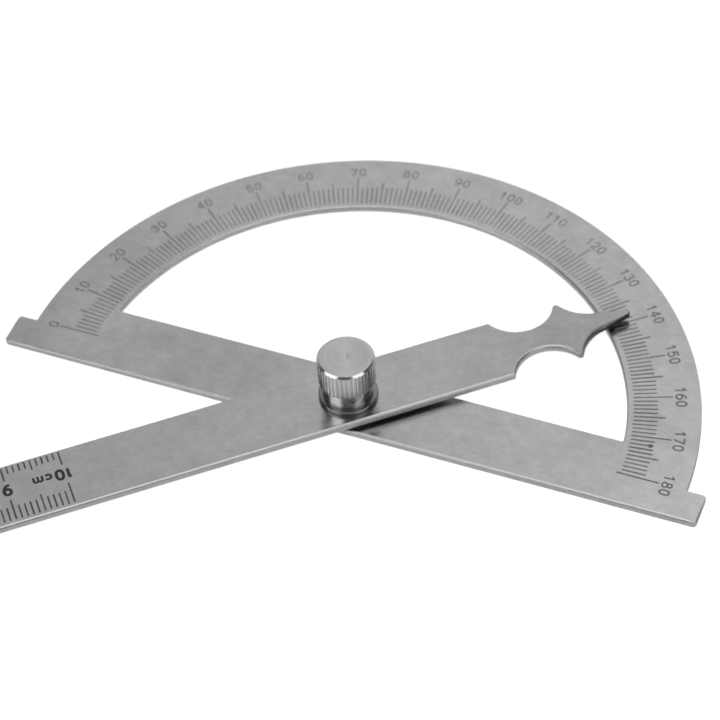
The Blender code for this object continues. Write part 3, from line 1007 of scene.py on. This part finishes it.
# the top face: radius, depth below the highest point
NUT_FACE = [
    (0, 0.10), (0.18, 0.09), (0.36, 0.045), (0.46, 0.04), (1.00, 0.021), (1.62, 0.020),
    (1.74, 0.025), (1.86, 0.025), (1.98, 0.020), (2.60, 0.018), (3.20, 0.016),
    (3.38, 0.013), (3.50, 0.004), (3.62, 0), (3.90, 0), (4.20, 0),
]


def s_curve(value):
    value = clamp_unit(value)
    return value * value * (3 - 2 * value)


def knurl(theta, z, r):
    if r < NECK_R + 0.05 or z < NECK_TOP:
        return r
    off = abs(((theta * RIBS / (2 * math.pi)) + 0.5) % 1.0 - 0.5) * 2    # 0 on a crest
    groove = s_curve((off - CREST) / FLANK)
    crown = CROWN * (off / CREST) ** 2 if off < CREST else CROWN
    run_out = s_curve((CHAMFER_Z + 0.12 - z) / 0.26)     # fades at the chamfer
    return min(r, NUT_R - (crown * (1 - groove) + KNURL_DEPTH * groove) * run_out)


def span(start, end, count):
    """Evenly spaced points from start, which is left out, to end."""
    return [(start[0] + (end[0] - start[0]) * i / count,
             start[1] + (end[1] - start[1]) * i / count) for i in range(1, count + 1)]


def nut_profile():
    chamfer, low_chamfer = (NUT_R, CHAMFER_Z), (NUT_R, CHAMFER_Z - 0.3)
    flare, neck_low = (NUT_R, FLARE_Z), (NECK_R, NUT_Z0 + 0.3)
    profile = [(r, NUT_Z1 - depth) for r, depth in NUT_FACE]
    profile += fillet((4.0, NUT_Z1), (TOP_R, NUT_Z1), chamfer, 0.08, 4)
    profile += span((TOP_R + 0.04, NUT_Z1 - 0.04), chamfer, 12)
    profile += span(chamfer, low_chamfer, 8)
    profile += span(low_chamfer, flare, 8)
    profile += span(flare, (NECK_R, NECK_TOP), 22)
    profile += span((NECK_R, NECK_TOP - 0.02), neck_low, 6)
    profile += fillet(neck_low, (NECK_R, NUT_Z0), (4.0, NUT_Z0), 0.18, 4)
    return profile + [(3.6, NUT_Z0), (2.6, NUT_Z0), (2.25, NUT_Z0),
                      (NUT_BORE_R, NUT_Z0 + 0.2), (NUT_BORE_R, 6.0), (NUT_BORE_R, 10.9),
                      (0, 11.3)]


def nut_slot(r, z):
    """Slot 1 is the top face."""
    return 1 if z > NUT_Z1 - 0.2 and r < TOP_R - 0.06 else 0


nut = turned("thumb_nut_knurled", nut_profile(), RIBS * 16, [nut_plating, nut_top],
             radial=knurl, slot_of=nut_slot)
register(nut, "nut", "thumb_nut")

# ============================================================ view
CAM_PLACE = Vector((0.12442558, -0.26154771, 0.33171471))
CAM_RIGHT = Vector((0.92869543, 0.36693044, -0.05372937))
CAM_UP = Vector((-0.23940186, 0.70385276, 0.66878849))
CAM_FORWARD = Vector((-0.28321642, 0.6082379, -0.74150868))


def eye_turn(nodes):
    """How far the eye has gone round from the front, 1 if it looks up, and its slope."""
    look = nodes.add("ShaderNodeVectorTransform", {0: (0.0, 0.0, 1.0)},
                     vector_type="VECTOR", convert_from="CAMERA", convert_to="WORLD")[0]
    x, y, z = nodes.axes(look)
    turn = nodes.math("SUBTRACT", nodes.math("ARCTAN2", y, x),
                      math.atan2(CAM_FORWARD.y, CAM_FORWARD.x))
    return turn, nodes.math("GREATER_THAN", z, 0.0), z


def direction(azimuth, elevation):
    """Degrees; azimuth is from the camera's side, positive to the viewer's right."""
    around = math.atan2(-CAM_FORWARD.y, -CAM_FORWARD.x) + math.radians(azimuth)
    rise = math.radians(elevation)
    return Vector((math.cos(around) * math.cos(rise), math.sin(around) * math.cos(rise),
                   math.sin(rise)))


# ============================================================ floor
FLOOR_HALF, FLOOR_Z = 3.0, -0.00002

grid = bmesh.new()
bmesh.ops.create_grid(grid, x_segments=8, y_segments=8, size=FLOOR_HALF)
floor_mesh = bpy.data.meshes.new("floor")
grid.to_mesh(floor_mesh)
grid.free()
floor = link_object("floor", floor_mesh)
floor.location = (0.0, 0.0, FLOOR_Z)


def diffuse_glow(nodes, colour, strength):
    """A matt surface that also gives off white light."""
    matt = nodes.add("ShaderNodeBsdfDiffuse", {"Color": colour})[0]
    glow = nodes.add("ShaderNodeEmission", {"Color": (1, 1, 1, 1), "Strength": strength})[0]
    return nodes.add("ShaderNodeAddShader", {0: matt, 1: glow})[0]


def pale_floor():
    """Bright to the camera, duller to other rays, clear to an eye below it."""
    material = bpy.data.materials.new("pale_floor")
    nodes = Nodes(material)
    rays = nodes.add("ShaderNodeLightPath")
    seen = diffuse_glow(nodes, (0.90, 0.90, 0.90, 1), 0.85)
    # contact shade round the pivot, not felt by the short rays of the sheets' edges
    place = nodes.add("ShaderNodeTexCoord")["Object"]
    gap = nodes.add("ShaderNodeVectorMath", {0: place}, operation="LENGTH")["Value"]
    shade = nodes.times(nodes.ease(gap, over=(0.0095, 0.0140), to=(1.0, 0.0)),
                        nodes.ease(rays["Ray Length"], over=(0.0042, 0.0060)))
    # shade takes the glow from 0.31 to 0 and the colour from 0.50 to 0.08
    haze = nodes.times_plus(shade, -0.31, 0.31)
    felt = diffuse_glow(nodes, nodes.grey(nodes.times_plus(shade, -0.42, 0.50)), haze)
    mix = nodes.mix_shader(rays["Is Camera Ray"], felt, seen)
    clear = nodes.add("ShaderNodeBsdfTransparent")[0]
    pane = nodes.mix_shader(eye_turn(nodes)[1], mix, clear)
    nodes.add("ShaderNodeOutputMaterial", {0: pane})
    return material


floor_mesh.materials.append(pale_floor())


# ============================================================ light
def softbox(name, azimuth, elevation, distance, width, height, radiance):
    """A soft panel aimed at the pivot, of even brightness.

    It is turned down for an eye well off the front or right overhead.
    """
    toward = direction(azimuth, elevation)
    lamp = bpy.data.lights.new(name, "AREA")
    lamp.shape = "RECTANGLE"
    lamp.size, lamp.size_y = width, height
    lamp.energy = radiance * 4.0 * width * height
    nodes = Nodes(lamp)
    turn, _, slope = eye_turn(nodes)
    strength = nodes.times(
        nodes.ease(nodes.math("COSINE", turn), over=(0.40, 0.86), to=(0.42, 1.0)),
        nodes.ease(slope, over=(-0.97, -0.82), to=(0.35, 1.0)))
    shine = nodes.add("ShaderNodeEmission", {"Strength": strength})[0]
    nodes.add("ShaderNodeOutputLight", {0: shine})
    ob = link_object(name, lamp)
    ob.location = toward * distance
    ob.rotation_mode = "QUATERNION"
    ob.rotation_quaternion = toward.to_track_quat("Z", "Y")


softbox("panel_left", azimuth=-63, elevation=37, distance=1.2, width=0.86, height=0.74,
        radiance=1.15)
softbox("panel_right", azimuth=43, elevation=33, distance=1.2, width=0.74, height=0.60,
        radiance=1.00)
softbox("panel_top", azimuth=0, elevation=88, distance=1.3, width=1.00, height=0.80,
        radiance=0.95)


def studio_way(nodes):
    """The ray's direction in a studio that goes round with the eye, as it does
    for an object on a turntable, and is mirrored for an eye below the floor."""
    way = nodes.add("ShaderNodeTexCoord")["Generated"]
    turn, below, _ = eye_turn(nodes)
    swung = nodes.add("ShaderNodeVectorRotate", {
        "Vector": way, "Angle": nodes.times(turn, -1.0)}, rotation_type="Z_AXIS")[0]
    flip = nodes.add("ShaderNodeCombineXYZ", {
        0: 1.0, 1: 1.0, 2: nodes.times_plus(below, -2.0, 1.0)})[0]
    return nodes.add("ShaderNodeVectorMath", {0: swung, 1: flip}, operation="MULTIPLY")[0]


def studio_level(nodes):
    """Brightness of the studio: a soft glow beyond the object, dim elsewhere."""
    way = studio_way(nodes)

    def along(vector):
        return nodes.add("ShaderNodeVectorMath", {0: way, 1: vector},
                         operation="DOT_PRODUCT")["Value"]

    back, side, up = along(direction(180, 43)), along(CAM_RIGHT), along((0.0, 0.0, 1.0))
    glow_edge = math.cos(math.radians(62)), math.cos(math.radians(26))
    level = nodes.ease(back, over=glow_edge, to=(0.11, 0.72))
    tilt = nodes.ramp(side, over=(-0.35, 0.35), to=(0.58, 1.36))     # brighter at right
    low = nodes.ramp(up, over=(0.60, 0.86), to=(1.08, 0.95))         # brighter lower down
    # high up, the glow fades out to either side
    wing = nodes.ease(nodes.math("ABSOLUTE", side), over=(0.27, 0.50), to=(1.0, 0.16))
    level = nodes.times(level, nodes.times(tilt, low))
    lift = nodes.ease(up, over=(0.30, 0.58))
    wing = nodes.times_plus(nodes.math("SUBTRACT", wing, 1.0), lift, 1.0)
    level = nodes.times(level, wing)
    horizon = nodes.ease(up, over=(0.06, 0.30), to=(0.36, 0.0))
    return nodes.plus(level, horizon)


world = bpy.data.worlds.new("studio")
bpy.context.scene.world = world
world_nodes = Nodes(world)
studio = world_nodes.add("ShaderNodeBackground", {
    "Color": world_nodes.grey(studio_level(world_nodes))})[0]
pale = world_nodes.add("ShaderNodeBackground", {"Color": (0.96, 0.96, 0.96, 1)})[0]
world_nodes.add("ShaderNodeOutputWorld", {
    0: world_nodes.mix_shader(world_nodes.is_camera_ray(), studio, pale)})

# ============================================================ camera
cam_data = bpy.data.cameras.new("camera")
cam_data.sensor_width = 36.0
cam_data.lens = 128.1204
cam_data.clip_start, cam_data.clip_end = 0.01, 20.0
focus = link_object("focus_point", None)
focus.location = (0.0100, -0.0215, 0.0262)
cam_data.dof.use_dof = True
cam_data.dof.focus_object = focus
cam_data.dof.aperture_fstop = 42.0
cam = link_object("camera", cam_data)
cam_turn = Matrix((CAM_RIGHT, CAM_UP, -CAM_FORWARD)).transposed()
cam.matrix_world = Matrix.Translation(CAM_PLACE) @ cam_turn.to_4x4()
bpy.context.scene.camera = cam
bpy.context.scene.view_settings.view_transform = "Standard"
